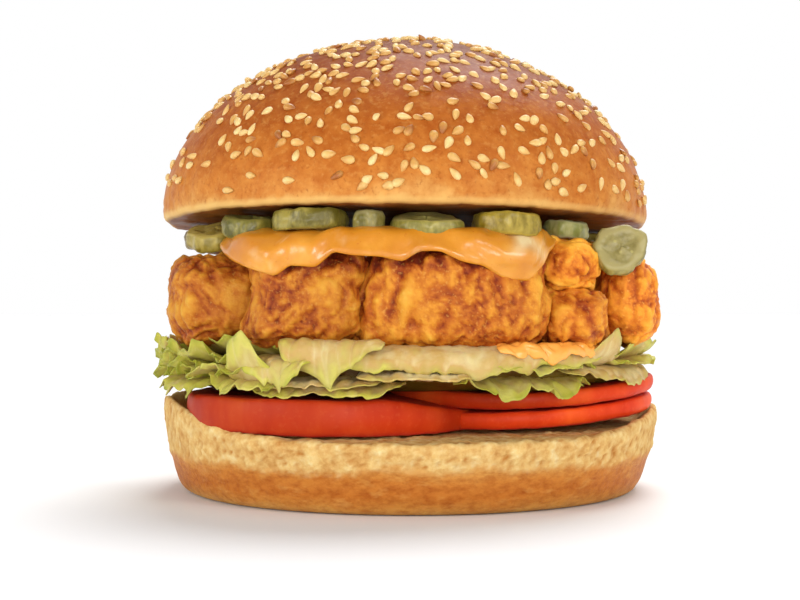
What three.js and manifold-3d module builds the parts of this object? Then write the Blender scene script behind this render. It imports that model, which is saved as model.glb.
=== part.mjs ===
// A chicken burger: seeded crown, gherkin slices, thick sauce, breaded chicken pieces,
// a bed of lettuce, tomato slices and the heel of the bun.
// Millimetres, +Z up. The front of the burger faces -Y, and its heel stands on z = 0.
import * as THREE from "three";
import { mergeVertices } from "three/addons/utils/BufferGeometryUtils.js";
import Module from "manifold-3d";

// ---------------------------------------------------------------- driving sizes
const SHIFT = { x: -0.77, y: 0.21 }; // puts the middle of the whole over the origin
const GAP = 0.35; // clearance left between neighbours
const CROWN = { r: 57.2, h: 43.4, z: 61.5, power: 1.98, lip: 1.9, tilt: -2.4, roll: 0.5 };
const HEEL = { x: 1.1, foot: 51.0, r: 58.3, top: 15.5, rimLeft: 6.4, rimRight: 4.4, rimBack: 1.6 };
const LETTUCE = { r: 55.4, top: 33.1, low: 22.8 };
const SAUCE = { r: 46.0, thick: 2.6, z: 56.5, slope: 0.036, shoulder: 49.6, bend: 5.0 };
const FALL = 0.036; // the top of the chicken falls gently towards the back, as the crown does

// Tomato slices: middle, underside, radius and thickness, lean in degrees. `thin` takes the top
// of a slice down towards its right end; `sag` bends a slice up at its two ends.
const TOMATOES = [
  { name: "tomato_left", x: -16.4, y: -19, z: 16.0, r: 33.2, t: 7.7, pitch: 0, roll: 0.4, thin: 3.4, sag: 0, seed: 1 },
  { name: "tomato_right", x: 24.6, y: -5, z: 16.9, r: 33.2, t: 3.9, pitch: 0.8, roll: -2.6, thin: 0, sag: 0.9, seed: 2 },
  { name: "tomato_top", x: 26.6, y: -8, z: 21.3, r: 31.4, t: 3.7, pitch: 0.8, roll: -2.2, thin: 0, sag: 1.6, seed: 3 },
  { name: "tomato_back", x: -14.5, y: 36.5, z: 15.9, r: 18.4, t: 6.6, pitch: 0, roll: 0, thin: 0, sag: 0, seed: 4 },
];

// Breaded pieces: middle, half sizes, bottom and top, corner radius, and how far the long
// sides bow outwards (bowX along x; bowY draws the ends of a crosswise piece back).
const CHICKEN = [
  { name: "chicken_mid_left", x: -20.9, y: -1.5, hx: 10.9, hy: 51.6, z0: 34.1, z1: 55.4, round: 4.4, bowX: -2.4, bowY: 0, seed: 2, seg: [4, 11, 4] },
  { name: "chicken_left", x: -40.6, y: -2, hx: 10.9, hy: 38.5, z0: 34.1, z1: 54.8, round: 7.4, bowX: -3.8, bowY: 0, seed: 1, seg: [4, 10, 4] },
  { name: "chicken_front", x: 9.4, y: -40.8, hx: 19.2, hy: 14.2, z0: 34.1, z1: 55.2, round: 3.4, bowX: 0, bowY: 4.0, seed: 3, seg: [8, 6, 5] },
  { name: "chicken_back", x: 9.6, y: 14.8, hx: 18.8, hy: 37.2, z0: 34.1, z1: 55.6, round: 6.0, bowX: 0, bowY: -2.0, seed: 4, seg: [6, 9, 4] },
  { name: "chicken_right_low", x: 34.8, y: -2.0, hx: 5.9, hy: 44.6, z0: 34.1, z1: 46.2, round: 2.8, bowX: 0.6, bowY: 0, seed: 5, seg: [3, 10, 3] },
  { name: "chicken_right_high", x: 34.2, y: -2.6, hx: 5.4, hy: 43.8, z0: 46.8, z1: 56.8, round: 4.0, bowX: 0.4, bowY: 0, seed: 6, seg: [3, 10, 3] },
  { name: "chicken_far_right", x: 48.3, y: 0.5, hx: 7.6, hy: 35.6, z0: 34.2, z1: 54.8, round: 6.6, bowX: 2.6, bowY: 0, seed: 7, seg: [4, 10, 4] },
];

// Gherkin slices: middle, radius, thickness and lean (degrees about x, then about y).
const PICKLES = [
  { x: -44.8, y: -4.5, z: 58.7, r: 7.8, t: 4.2, rx: 3, ry: -5, seed: 1 },
  { x: -41.8, y: -25.0, z: 58.5, r: 7.6, t: 3.8, rx: 16, ry: -10, seed: 2 },
  { x: -33.0, y: -37.4, z: 59.9, r: 7.0, t: 4.2, rx: 7, ry: 3, seed: 3 },
  { x: -19.6, y: -44.6, z: 60.8, r: 8.4, t: 4.4, rx: -2, ry: 1, seed: 4 },
  { x: -7.6, y: -48.6, z: 60.8, r: 3.4, t: 4.2, rx: 3, ry: 2, seed: 5 },
  { x: 4.2, y: -47.6, z: 59.7, r: 8.0, t: 3.8, rx: 11, ry: 1, seed: 6 },
  { x: 20.9, y: -44.6, z: 60.1, r: 8.0, t: 4.8, rx: 1, ry: 1, seed: 7 },
  { x: 34.6, y: -32.0, z: 59.6, r: 5.8, t: 3.8, rx: 3, ry: 2, seed: 8 },
  { x: 45.4, y: -40.2, z: 55.0, r: 6.2, t: 3.2, rx: 66, ry: 10, seed: 9 },
  { x: 43.2, y: 5, z: 58.4, r: 8.0, t: 3.7, rx: -2, ry: 1, seed: 10 },
  { x: 30.0, y: 30, z: 57.7, r: 8.2, t: 3.5, rx: -2, ry: 1, seed: 11 },
  { x: 2.0, y: 39.5, z: 57.5, r: 8.4, t: 3.5, rx: -2, ry: 0, seed: 12 },
  { x: -29.0, y: 30, z: 58.2, r: 8.0, t: 3.6, rx: -2, ry: 0, seed: 13 },
];

// ---------------------------------------------------------------- small helpers
const wasm = await Module();
wasm.setup();
const rad = (d) => (d * Math.PI) / 180;
const clamp = (x, a, b) => Math.min(b, Math.max(a, x));
const smooth = (a, b, x) => {
  const t = clamp((x - a) / (b - a), 0, 1);
  return t * t * (3 - 2 * t);
};
// A hump of height 1 around an angle, all in degrees.
const hump = (angle, at, wide) => {
  const d = ((((angle - at + 180) % 360) + 360) % 360) - 180;
  return Math.exp(-((d / wide) ** 2));
};
// Gentle unevenness, about -1 to 1: four crossing waves whose lengths are near `wave`.
function wobble(x, y, z, seed, wave) {
  let s = 0;
  for (let i = 0; i < 4; i++) {
    const a = seed * 1.7 + i * 2.399, b = seed * 0.9 + i * 1.31;
    const k = (2 * Math.PI) / (wave * (0.8 + 0.17 * i));
    const across = x * Math.cos(a) * Math.cos(b) + y * Math.sin(a) * Math.cos(b) + z * Math.sin(b);
    s += Math.sin(k * across + seed * 3.1 + i * 1.9);
  }
  return 0.4 * s;
}
const angleOf = (v) => (Math.atan2(v.y, v.x) * 180) / Math.PI;

// Moves every shared vertex of a closed geometry and drops triangles that collapse.
function shaped(geometry, move) {
  geometry.deleteAttribute("normal");
  geometry.deleteAttribute("uv");
  const g = mergeVertices(geometry, 1e-4);
  const p = g.attributes.position, v = new THREE.Vector3(), kept = [], old = g.index.array;
  for (let i = 0; i < p.count; i++) {
    move(v.fromBufferAttribute(p, i));
    p.setXYZ(i, v.x, v.y, v.z);
  }
  for (let i = 0; i < old.length; i += 3) {
    const [a, b, c] = [old[i], old[i + 1], old[i + 2]];
    if (a !== b && b !== c && a !== c) kept.push(a, b, c);
  }
  g.setIndex(kept);
  return g;
}
// A turned body about +Z from a profile of [radius, height] pairs that runs from the bottom up.
function turned(profile, around, move) {
  const g = new THREE.LatheGeometry(profile.map(([r, z]) => new THREE.Vector2(r, z)), around);
  g.rotateX(Math.PI / 2);
  return shaped(g, move);
}
// Leans a geometry about x, then about y, and carries it to its place.
function placed(g, x, y, z, rx = 0, ry = 0) {
  g.rotateX(rad(rx));
  g.rotateY(rad(ry));
  return g.translate(x, y, z);
}
const solidOf = (g) => new wasm.Manifold(new wasm.Mesh({ numProp: 3, vertProperties: new Float32Array(g.attributes.position.array), triVerts: new Uint32Array(g.index.array) }));
// Takes grown copies of the neighbours out of a piece, and keeps the largest body that is left.
function carved(g, neighbours, coarse = 0.09) {
  let s = solidOf(g);
  for (const n of neighbours) s = s.subtract(solidOf(n));
  s = s.decompose().reduce((a, b) => (b.volume() > a.volume() ? b : a)).simplify(coarse);
  const mesh = s.getMesh();
  return new THREE.BufferGeometry()
    .setAttribute("position", new THREE.BufferAttribute(new Float32Array(mesh.vertProperties), 3))
    .setIndex(new THREE.BufferAttribute(new Uint32Array(mesh.triVerts), 1));
}
const food = (colour, roughness) => new THREE.MeshStandardMaterial({ color: colour, roughness, metalness: 0 });
function piece(name, geometry, material) {
  geometry.computeVertexNormals();
  const m = new THREE.Mesh(geometry, material);
  m.name = name;
  return m;
}

// ---------------------------------------------------------------- the pieces
// Crown: flat cut face, a short lip, and a dome close to half an ellipse.
function crown() {
  const { r, h, power, lip } = CROWN, profile = [[0, 0], [r * 0.5, 0], [r - 2.0, 0], [r - 0.7, 0.3]];
  for (let i = 0; i <= 10; i++) {
    const a = (i / 10) * (Math.PI / 2);
    profile.push([r * Math.cos(a) ** (2 / power), lip + (h - lip) * Math.sin(a) ** (2 / power)]);
  }
  profile[profile.length - 1][0] = 0;
  const g = turned(profile, 36, (v) => {
    const up = smooth(0, 8, v.z), k = 1 + 0.009 * wobble(v.x, v.y, v.z, 5, 46) * (0.35 + 0.65 * up);
    v.x *= k;
    v.y *= k;
    v.z += 0.4 * up * wobble(v.x, v.y, 0, 9, 38);
  });
  return placed(g, 0, 0, CROWN.z, CROWN.tilt, CROWN.roll);
}
// Heel: flat foot, round lower edge, almost upright crumb side; the rim stands up beside the tomato.
function heel() {
  const { foot, r, top } = HEEL;
  const profile = [[0, 0], [foot, 0], [foot + 2.2, 0.7], [foot + 3.4, 2.3], [foot + 4.2, 4.4], [foot + 5.2, 8], [r - 0.7, 11.8], [r, 14.4], [r - 0.9, top], [r - 5.5, top], [r * 0.5, top], [0, top]];
  const g = turned(profile, 36, (v) => {
    const a = angleOf(v), out = Math.hypot(v.x, v.y);
    const rim = HEEL.rimLeft * hump(a, 180, 28) + HEEL.rimRight * hump(a, 0, 26) + HEEL.rimBack * hump(a, 112, 40);
    v.z += rim * smooth(9, top, v.z) * smooth(r - 5.4, r - 0.9, out);
    const k = 1 + 0.006 * wobble(v.x, v.y, v.z * 0.5, 3, 50) * smooth(0.2, 4, v.z);
    v.x *= k;
    v.y *= k;
  });
  return placed(g, HEEL.x, 0, 0);
}
// Tomato slice: a round of fruit with a barrelled skin and faint lobes.
function tomato(t, grow = 0) {
  const h = t.t + 2 * grow, r = t.r + grow;
  const profile = [[0, 0], [r * 0.55, 0], [r - 1.2, 0], [r - 0.15, h * 0.3], [r, h * 0.55], [r - 0.9, h], [r * 0.55, h], [0, h]];
  const g = turned(profile, 28, (v) => {
    const k = 0.988 + 0.012 * Math.cos(rad(5 * angleOf(v) + 40 * t.seed)), end = v.x / t.r;
    v.z -= t.thin * (v.z / h) * smooth(0.3, 1.05, end);
    v.z += t.sag * end * end;
    v.x *= k;
    v.y *= k;
  });
  return placed(g, t.x, t.y, t.z - grow, t.pitch, t.roll);
}
// Lettuce: a heap of torn leaves out to its ruffled outline, drooping where no tomato carries it.
function lettuce() {
  const r = LETTUCE.r, profile = [[0, 0], [r * 0.45, 0], [r * 0.82, 0], [r, 0.2], [r + 1.2, 0.55], [r, 0.9], [r * 0.82, 1], [r * 0.45, 1], [0, 1]];
  return turned(profile, 36, (v) => {
    const a = angleOf(v), u = v.z, edge = smooth(r * 0.6, r, Math.hypot(v.x, v.y));
    const ruffle = 1.4 * Math.cos(rad(9 * a + 20)) + 1.0 * Math.cos(rad(14 * a - 50)) + 2.6 * hump(a, 190, 14) + 2.0 * hump(a, -6, 16);
    const k = 1 + (ruffle * edge) / r, low = LETTUCE.low - edge * (4.0 * hump(a, 158, 20) + 3.0 * hump(a, 62, 26));
    v.x *= k;
    v.y *= k;
    v.z = low + (LETTUCE.top - low) * u + edge * (0.4 - 0.8 * Math.abs(u - 0.5)) * Math.cos(rad(11 * a));
  });
}
// A breaded piece: a rounded block whose crust swells unevenly, bowed to follow the bun.
function breaded(c, grow = 0) {
  const half = [c.hx, c.hy, (c.z1 - c.z0) / 2], mid = (c.z0 + c.z1) / 2;
  const R = Math.min(c.round, ...half.map((h) => h * 0.94));
  return shaped(new THREE.BoxGeometry(2, 2, 2, ...c.seg), (v) => {
    const u = v.x, w = v.y, p = [v.x * half[0], v.y * half[1], v.z * half[2]];
    const q = p.map((a, i) => clamp(a, R - half[i], half[i] - R));
    const d = p.map((a, i) => a - q[i]), n = Math.hypot(...d);
    const swell = 0.6 * wobble(p[0] + c.x, p[1] + c.y, p[2], c.seed, 21) - 0.35 + grow;
    for (let i = 0; i < 3; i++) p[i] = q[i] + (d[i] / n) * (R + swell);
    v.x = c.x + p[0] + c.bowX * (1 - w * w);
    v.y = c.y + p[1] + c.bowY * u * u;
    v.z = mid + p[2] - FALL * (v.y + 45) * (0.5 + p[2] / (2 * half[2]));
  });
}
// How far out the sauce runs at an angle (degrees), measured along its surface:
// it hangs over the front in uneven tongues, and stops short elsewhere.
function sauceReach(a) {
  const front = hump(a, -92, 62) ** 0.7;
  return SAUCE.r + 1.6 * Math.cos(rad(5 * a + 30)) + 1.0 * Math.cos(rad(9 * a)) + front * 9.1
    + 3.4 * hump(a, -119, 6) + 4.2 * hump(a, -66, 7.5) - 3.2 * hump(a, -103, 5) - 1.8 * hump(a, -88, 4) - 9 * hump(a, -46, 9) - 8 * hump(a, -141, 10);
}
// Sauce: a thick blanket that lies on the chicken and bends down over its front edge.
function sauce() {
  const across = [0, 0.5, 0.8, 0.91, 1], profile = across.map((s) => [s, 0]);
  profile.push([1.025, 0.5], ...across.slice().reverse().map((s) => [s, 1]));
  return turned(profile, 38, (v) => {
    const s = Math.hypot(v.x, v.y), a = angleOf(v), side = v.z, t = SAUCE.thick * (s > 0.99 ? 0.8 : 1);
    const l = s * sauceReach(a), turn = (SAUCE.bend * Math.PI) / 2;
    let r = l, z = 0, nr = 0, nz = 1;
    if (l > SAUCE.shoulder) {
      const f = Math.min((l - SAUCE.shoulder) / SAUCE.bend, Math.PI / 2);
      r = SAUCE.shoulder + SAUCE.bend * Math.sin(f);
      z = -SAUCE.bend * (1 - Math.cos(f)) - Math.max(0, l - SAUCE.shoulder - turn);
      nr = Math.sin(f);
      nz = Math.cos(f);
    }
    r += side * t * nr;
    z += side * t * nz;
    v.set(r * Math.cos(rad(a)), r * Math.sin(rad(a)), 0);
    v.z = SAUCE.z + z - SAUCE.slope * (v.y + 45) + 0.3 * side * nz * wobble(v.x, v.y, 0, 4, 26);
  });
}
// Gherkin slice: a small round, a little oval, with a bevelled rind.
function pickle(p, grow = 0) {
  const r = p.r + grow, t = p.t + 2 * grow, profile = [[0, -t / 2], [r - 0.7, -t / 2], [r, -t * 0.1], [r - 0.5, t / 2], [0, t / 2]];
  const g = turned(profile, 14, (v) => {
    const a = angleOf(v), k = 0.95 + 0.05 * Math.cos(rad(2 * a + 70 * p.seed)) + 0.025 * Math.cos(rad(3 * a - 50 * p.seed));
    v.x *= k;
    v.y *= k;
  });
  return placed(g, p.x, p.y, p.z, p.rx, p.ry);
}

// ---------------------------------------------------------------- the burger
const burger = new THREE.Group();
const stack = new THREE.Group();
stack.position.set(SHIFT.x, SHIFT.y, 0);
burger.add(stack);

const golden = food(0xb96a2b, 0.5), crumb = food(0xd6b074, 0.8), flesh = food(0xc23a22, 0.3), leaf = food(0xb9c177, 0.5);
const crust = food(0xc9812f, 0.7), cream = food(0xe79a2e, 0.35), gherkin = food(0x8b8a3e, 0.35);
const grown = { tomatoes: TOMATOES.map((t) => tomato(t, GAP)), chicken: CHICKEN.map((c) => breaded(c, GAP)), wide: CHICKEN.map((c) => breaded(c, 1.4 * GAP)), pickles: PICKLES.map((p) => pickle(p, 1.4 * GAP)) };

// The bread gives way to the tomato, each slice to the ones below it, the lettuce to the
// tomato and the chicken, and the sauce to the chicken under it and the gherkins pressed into it.
stack.add(piece("bun_heel", carved(heel(), grown.tomatoes), crumb));
TOMATOES.forEach((t, i) => stack.add(piece(t.name, i && i < 3 ? carved(tomato(t), grown.tomatoes.slice(0, i)) : tomato(t), flesh)));
stack.add(piece("lettuce", carved(lettuce(), [...grown.tomatoes, ...grown.wide], 0.15), leaf));
CHICKEN.forEach((c, i) => stack.add(piece(c.name, i === 1 ? carved(breaded(c), [grown.chicken[0]]) : breaded(c), crust)));
stack.add(piece("sauce", carved(sauce(), [...grown.wide, ...grown.pickles], 0.18), cream));
PICKLES.forEach((p, i) => stack.add(piece(`pickle_${i + 1}`, pickle(p), gherkin)));
stack.add(piece("bun_crown", crown(), golden));

export default burger;
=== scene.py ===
import bpy
import math
import numpy as np
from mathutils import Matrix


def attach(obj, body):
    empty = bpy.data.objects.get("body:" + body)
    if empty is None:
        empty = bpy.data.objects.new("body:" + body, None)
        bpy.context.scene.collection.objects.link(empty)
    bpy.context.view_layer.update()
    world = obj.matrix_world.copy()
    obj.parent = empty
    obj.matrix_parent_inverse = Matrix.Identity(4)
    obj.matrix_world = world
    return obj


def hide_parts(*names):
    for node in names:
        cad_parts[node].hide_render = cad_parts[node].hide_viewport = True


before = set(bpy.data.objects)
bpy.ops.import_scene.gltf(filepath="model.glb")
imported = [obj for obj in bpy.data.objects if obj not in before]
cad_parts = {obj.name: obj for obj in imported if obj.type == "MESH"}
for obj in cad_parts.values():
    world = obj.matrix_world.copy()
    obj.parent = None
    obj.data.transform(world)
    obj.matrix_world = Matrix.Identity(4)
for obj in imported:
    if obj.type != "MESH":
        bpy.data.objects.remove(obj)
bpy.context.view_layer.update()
RNG = np.random.default_rng(2063)

# ------------------------------------------------------------------ sizes, millimetres
SHIFT = np.array([-0.77, 0.21, 0.0])
CROWN = dict(r=57.2, h=43.4, z=61.5, power=1.98, lip=1.9, tilt=-2.4, roll=0.5)
HEEL = dict(x=1.1, foot=51.0, r=58.3, top=15.5, left=6.4, right=4.4, back=1.6)
SAUCE = dict(r=46.0, thick=2.6, z=56.5, slope=0.036, shoulder=49.6, bend=5.0)
FALL = 0.036
TOMATOES = {
    "tomato_left": dict(x=-16.4, y=-19, z=16.0, r=33.2, t=7.7, pitch=0, roll=0.4, thin=3.4, sag=0, seed=1),
    "tomato_right": dict(x=24.6, y=-5, z=16.9, r=33.2, t=3.9, pitch=0.8, roll=-2.6, thin=0, sag=0.9, seed=2),
    "tomato_top": dict(x=26.6, y=-8, z=21.3, r=31.4, t=3.7, pitch=0.8, roll=-2.2, thin=0, sag=1.6, seed=3),
    "tomato_back": dict(x=-14.5, y=36.5, z=15.9, r=18.4, t=6.6, pitch=0, roll=0, thin=0, sag=0, seed=4),
}
CHICKEN = {
    "chicken_mid_left": dict(x=-20.9, y=-1.5, hx=10.9, hy=51.6, z0=34.1, z1=55.4, round=4.4, bowX=-2.4, bowY=0, seed=2),
    "chicken_left": dict(x=-40.6, y=-2, hx=10.9, hy=38.5, z0=34.1, z1=54.8, round=7.4, bowX=-3.8, bowY=0, seed=1),
    "chicken_front": dict(x=9.4, y=-40.8, hx=19.2, hy=14.2, z0=34.1, z1=55.2, round=3.4, bowX=0, bowY=4.0, seed=3),
    "chicken_back": dict(x=9.6, y=14.8, hx=18.8, hy=37.2, z0=34.1, z1=55.6, round=6.0, bowX=0, bowY=-2.0, seed=4),
    "chicken_right_low": dict(x=34.8, y=-2.0, hx=5.9, hy=44.6, z0=34.1, z1=46.2, round=2.8, bowX=0.6, bowY=0, seed=5),
    "chicken_right_high": dict(x=34.2, y=-2.6, hx=5.4, hy=43.8, z0=46.8, z1=56.8, round=4.0, bowX=0.4, bowY=0, seed=6),
    "chicken_far_right": dict(x=48.3, y=0.5, hx=7.6, hy=35.6, z0=34.2, z1=54.8, round=6.6, bowX=2.6, bowY=0, seed=7),
}
# middle, radius, thickness, lean, and the colour of the flesh (sRGB)
PICKLES = [
    (-44.8, -4.5, 58.7, 7.8, 4.2, 3, -5, (132, 106, 44)),
    (-41.8, -25.0, 58.5, 7.6, 3.8, 16, -10, (176, 152, 74)),
    (-33.0, -37.4, 59.9, 7.0, 4.2, 7, 3, (112, 106, 48)),
    (-19.6, -44.6, 60.8, 8.4, 4.4, -2, 1, (132, 118, 54)),
    (-7.6, -48.6, 60.8, 3.4, 4.2, 3, 2, (140, 130, 84)),
    (4.2, -47.6, 59.7, 8.0, 3.8, 11, 1, (160, 148, 84)),
    (20.9, -44.6, 60.1, 8.0, 4.8, 1, 1, (170, 142, 50)),
    (34.6, -32.0, 59.6, 5.8, 3.8, 3, 2, (178, 178, 130)),
    (45.4, -40.2, 55.0, 6.2, 3.2, 66, 10, (152, 138, 88)),
    (43.2, 5, 58.4, 8.0, 3.7, -2, 1, (150, 132, 66)),
    (30.0, 30, 57.7, 8.2, 3.5, -2, 1, (164, 146, 74)),
    (2.0, 39.5, 57.5, 8.4, 3.5, -2, 0, (146, 128, 60)),
    (-29.0, 30, 58.2, 8.0, 3.6, -2, 0, (170, 150, 70)),
]


# ------------------------------------------------------------------ numbers
def smooth(a, b, x):
    t = np.clip((np.asarray(x, float) - a) / (b - a), 0, 1)
    return t * t * (3 - 2 * t)


def hump(a, at, wide):
    d = (a - at + 180) % 360 - 180
    return np.exp(-((d / wide) ** 2))


def wobble(x, y, z, seed, wave):
    s = 0.0
    for i in range(4):
        a, b = seed * 1.7 + i * 2.399, seed * 0.9 + i * 1.31
        k = 2 * math.pi / (wave * (0.8 + 0.17 * i))
        s = s + np.sin(k * (x * math.cos(a) * math.cos(b) + y * math.sin(a) * math.cos(b) + z * math.sin(b)) + seed * 3.1 + i * 1.9)
    return 0.4 * s


def _hash(i, j, k, seed):
    h = (i * 73856093) ^ (j * 19349663) ^ (k * 83492791) ^ (seed * 40503 + 977)
    h = ((h ^ (h >> 13)) * 1274126177) & 0xFFFFFFFF
    h = ((h ^ (h >> 16)) * 668265263) & 0xFFFFFFFF
    return h ^ (h >> 15)


def noise(p, seed=0):
    """Smooth noise from about -1 to 1 at points p, one wave to a unit."""
    i = np.floor(p).astype(np.int64)
    f = p - i
    u = f * f * f * (f * (f * 6 - 15) + 10)
    out = np.zeros(len(p))
    for dx in (0, 1):
        for dy in (0, 1):
            for dz in (0, 1):
                h = _hash(i[:, 0] + dx, i[:, 1] + dy, i[:, 2] + dz, seed)
                g = ((h & 1023) / 511.5 - 1) * (f[:, 0] - dx) + (((h >> 10) & 1023) / 511.5 - 1) * (f[:, 1] - dy) + (((h >> 20) & 1023) / 511.5 - 1) * (f[:, 2] - dz)
                w = (u[:, 0] if dx else 1 - u[:, 0]) * (u[:, 1] if dy else 1 - u[:, 1]) * (u[:, 2] if dz else 1 - u[:, 2])
                out += w * g
    return out * 1.25


def fbm(p, octaves=3, seed=0, gain=0.5):
    s, a, t = 0.0, 1.0, 0.0
    for o in range(octaves):
        s = s + a * noise(p * 2.03 ** o + 17.3 * o, seed + 31 * o)
        t += a
        a *= gain
    return s / t * 1.3


def cells(p, seed=0):
    """Distance to the nearest of one scattered point per unit cell."""
    i = np.floor(p).astype(np.int64)
    best = np.full(len(p), 9.0)
    for dx in (-1, 0, 1):
        for dy in (-1, 0, 1):
            for dz in (-1, 0, 1):
                h = _hash(i[:, 0] + dx, i[:, 1] + dy, i[:, 2] + dz, seed)
                d = (i[:, 0] + dx + (h & 1023) / 1023 - p[:, 0]) ** 2 + (i[:, 1] + dy + ((h >> 10) & 1023) / 1023 - p[:, 1]) ** 2 + (i[:, 2] + dz + ((h >> 20) & 1023) / 1023 - p[:, 2]) ** 2
                best = np.minimum(best, d)
    return np.sqrt(best)


def lean(p, rx, ry):
    a, b = math.radians(rx), math.radians(ry)
    x, y, z = p[:, 0], p[:, 1], p[:, 2]
    y, z = y * math.cos(a) - z * math.sin(a), y * math.sin(a) + z * math.cos(a)
    return np.stack([x * math.cos(b) + z * math.sin(b), y, -x * math.sin(b) + z * math.cos(b)], 1)


# ------------------------------------------------------------------ meshes
def rounded(points, times=3):
    """Rounds the corners of an open line of points."""
    p = np.array(points, float)
    for _ in range(times):
        q = np.empty((2 * len(p), 2))
        q[0::2] = 0.75 * p + 0.25 * np.vstack([p[1:], p[-1:]])
        q[1::2] = 0.25 * p + 0.75 * np.vstack([p[1:], p[-1:]])
        p = np.vstack([p[:1], q[:-2], p[-1:]])
    return p


def spaced(points, fine, coarse=None, seen=None):
    """The same line in steps of the fine length where seen(radius, height) holds, and of the coarse length elsewhere."""
    p = np.array(points, float)
    p = np.vstack([p[:1]] + [p[i] + (p[i + 1] - p[i]) * np.linspace(0, 1, 9)[1:, None] for i in range(len(p) - 1)])
    step = np.full(len(p) - 1, fine)
    if seen is not None:
        m = 0.5 * (p[1:] + p[:-1])
        step = np.where(seen(m[:, 0], m[:, 1]), fine, coarse)
    l = np.concatenate([[0], np.cumsum(np.hypot(*np.diff(p, axis=0).T) / step)])
    s = np.linspace(0, l[-1], max(4, int(round(l[-1]))) + 1)
    return np.stack([np.interp(s, l, p[:, 0]), np.interp(s, l, p[:, 1])], 1)


def lathe(profile, n):
    """Grid of a turned body whose profile starts and ends on the axis, from the bottom up: radius, height, angle and faces."""
    ring = profile[1:-1]
    k = len(ring)
    a = np.arange(n) * 360.0 / n
    r = np.concatenate([[0], np.repeat(ring[:, 0], n), [0]])
    z = np.concatenate([[profile[0, 1]], np.repeat(ring[:, 1], n), [profile[-1, 1]]])
    ang = np.concatenate([[0], np.tile(a, k), [0]])
    j = np.arange(n)
    jn = (j + 1) % n
    rows = np.arange(k - 1)[:, None] * n + 1
    quads = np.stack([(rows + j), (rows + jn), (rows + n + jn), (rows + n + j)], -1).reshape(-1, 4)
    last = 1 + (k - 1) * n
    tris = np.vstack([np.stack([np.zeros(n, int), 1 + jn, 1 + j], 1), np.stack([np.full(n, last + n), last + j, last + jn], 1)])
    return r, z, ang, quads, tris


def box_grid(axes):
    """Points on the surface of the cube from -1 to 1 at the given steps along each axis, shared at the edges, and quads that face out."""
    n = [len(v) - 1 for v in axes]
    pts, quads = [], []
    number = np.full([k + 1 for k in n], -1, np.int64)
    count = 0
    for axis in range(3):
        o1, o2 = (axis + 1) % 3, (axis + 2) % 3
        for side in (0, n[axis]):
            g1, g2 = np.meshgrid(np.arange(n[o1] + 1), np.arange(n[o2] + 1), indexing="ij")
            idx = np.zeros((3,) + g1.shape, int)
            idx[axis], idx[o1], idx[o2] = side, g1, g2
            cur = number[idx[0], idx[1], idx[2]]
            new = cur < 0
            m = int(new.sum())
            cur[new] = np.arange(count, count + m)
            number[idx[0], idx[1], idx[2]] = cur
            pts.append(np.stack([axes[0][idx[0][new]], axes[1][idx[1][new]], axes[2][idx[2][new]]], 1))
            count += m
            q = np.stack([cur[:-1, :-1], cur[1:, :-1], cur[1:, 1:], cur[:-1, 1:]], -1).reshape(-1, 4)
            quads.append(q if side else q[:, ::-1])
    return np.vstack(pts), np.vstack(quads)


def steps(half, fine, coarse, near, far):
    """From -1 to 1 over a length of twice half: fine steps over the lengths near and far at its two ends, coarse ones between."""
    x = np.linspace(-half, half, 801)
    m = 0.5 * (x[1:] + x[:-1])
    w = np.where((m < near - half) | (m > half - far), 1 / fine, 1 / coarse)
    l = np.concatenate([[0], np.cumsum(w * np.diff(x))])
    return np.interp(np.linspace(0, l[-1], int(round(l[-1])) + 1), l, x) / half


def normals(co, quads, tris=None):
    n = np.zeros_like(co)
    d = np.cross(co[quads[:, 2]] - co[quads[:, 0]], co[quads[:, 3]] - co[quads[:, 1]])
    for c in range(4):
        for k in range(3):
            n[:, k] += np.bincount(quads[:, c], d[:, k], len(co))
    if tris is not None and len(tris):
        d = np.cross(co[tris[:, 1]] - co[tris[:, 0]], co[tris[:, 2]] - co[tris[:, 0]])
        for c in range(3):
            for k in range(3):
                n[:, k] += np.bincount(tris[:, c], d[:, k], len(co))
    return n / np.maximum(np.linalg.norm(n, axis=1, keepdims=True), 1e-12)


def build(name, co, quads, tris, material, attrs, nodes=()):
    """A mesh piece from millimetres in the stack's own frame, riding on the body."""
    me = bpy.data.meshes.new(name)
    tris = np.zeros((0, 3), int) if tris is None else tris
    loops = np.concatenate([quads.ravel(), tris.ravel()]).astype(np.int32)
    start = np.concatenate([np.arange(len(quads)) * 4, len(quads) * 4 + np.arange(len(tris)) * 3]).astype(np.int32)
    me.vertices.add(len(co))
    me.vertices.foreach_set("co", ((co + SHIFT) * 0.001).astype(np.float32).ravel())
    me.loops.add(len(loops))
    me.loops.foreach_set("vertex_index", loops)
    me.polygons.add(len(start))
    me.polygons.foreach_set("loop_start", start)
    me.polygons.foreach_set("use_smooth", np.ones(len(start), bool))
    me.update(calc_edges=True)
    me.validate()
    for key, val in attrs.items():
        val = np.asarray(val, np.float32)
        if val.ndim == 2:
            a = me.attributes.new(key, "FLOAT_COLOR", "POINT")
            a.data.foreach_set("color", np.hstack([val, np.ones((len(val), 1), np.float32)]).ravel())
        else:
            a = me.attributes.new(key, "FLOAT", "POINT")
            a.data.foreach_set("value", val)
    me.materials.append(material)
    o = bpy.data.objects.new(name, me)
    bpy.context.scene.collection.objects.link(o)
    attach(o, "root")
    if nodes:
        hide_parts(*nodes)
    return o


# ------------------------------------------------------------------ materials
def lin(r, g, b):
    f = lambda c: c / 12.92 if c <= 0.04045 else ((c + 0.055) / 1.055) ** 2.4
    return (f(r / 255), f(g / 255), f(b / 255), 1.0)


def tone(r, g, b, k=0.74):
    """The colour of a surface that reads as this sRGB colour under the studio light."""
    c = lin(r, g, b)
    return (c[0] * k, c[1] * k * 0.97, c[2] * k * 0.74, 1.0)


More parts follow.
